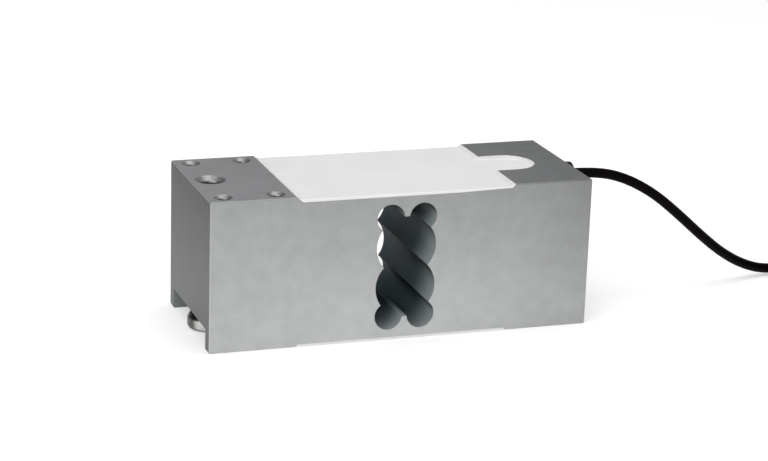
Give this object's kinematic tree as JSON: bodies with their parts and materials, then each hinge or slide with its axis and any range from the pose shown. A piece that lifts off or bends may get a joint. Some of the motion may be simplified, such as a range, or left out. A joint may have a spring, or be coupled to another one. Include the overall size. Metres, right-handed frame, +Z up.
{
  "type": "single point load cell",
  "caption": "Machined aluminium single point load cell: block with a lobed bending window, white potted gauge recess, overload stop screw and a thin black cable.",
  "frame": {"origin": "middle of the block's underside, in the plane of its feet", "axes": "+X along the block from the load end to the cable end, +Z up from the base plane to the load pad, +Y across"},
  "size_m": [0.3148, 0.0995, 0.058],
  "materials": {
    "aluminium": "machined, matt, clear",
    "potting": "white silicone, satin",
    "gauge_foil": "amber film with an etched metal grid",
    "circuit_board": "green solder resist",
    "resistor": "moulded, black, tinned ends",
    "bridge_wire": "enamelled copper",
    "core_insulation": "coloured insulation",
    "gland_body": "moulded, black",
    "seal_rubber": "black rubber",
    "cable_jacket": "black, smooth",
    "stop_screw_steel": "zinc plated, dull",
    "tie_nylon": "black nylon",
    "shrink_sleeve": "black heat-shrink",
    "lead_red": "insulation",
    "lead_black": "insulation",
    "lead_green": "insulation",
    "lead_white": "insulation",
    "tinned_copper": "tinned"
  },
  "bodies": {
    "root": {"load_cell_body": "aluminium", "top_potting": "potting", "bottom_potting": "potting", "strain_gauge_top_load": "gauge_foil", "strain_gauge_top_fixed": "gauge_foil", "strain_gauge_bottom_load": "gauge_foil", "strain_gauge_bottom_fixed": "gauge_foil", "terminal_board": "circuit_board", "span_resistor_supply": "resistor", "zero_trim_resistor": "resistor", "span_resistor_return": "resistor", "top_gauge_wires": "bridge_wire", "bottom_gauge_wires": "bridge_wire", "cable_cores": "core_insulation", "cable_gland": "gland_body", "gland_seal": "seal_rubber", "cable_inner_end": "cable_jacket", "overload_stop_screw": "stop_screw_steel", "cable": "cable_jacket", "cable_coil": "cable_jacket", "cable_tail": "cable_jacket", "cable_tie": "tie_nylon", "cable_end_sleeve": "shrink_sleeve", "lead_red": "lead_red", "lead_black": "lead_black", "lead_green": "lead_green", "lead_white": "lead_white", "shield_drain_wire": "tinned_copper", "lead_tips": "tinned_copper"}
  },
  "joints": []
}
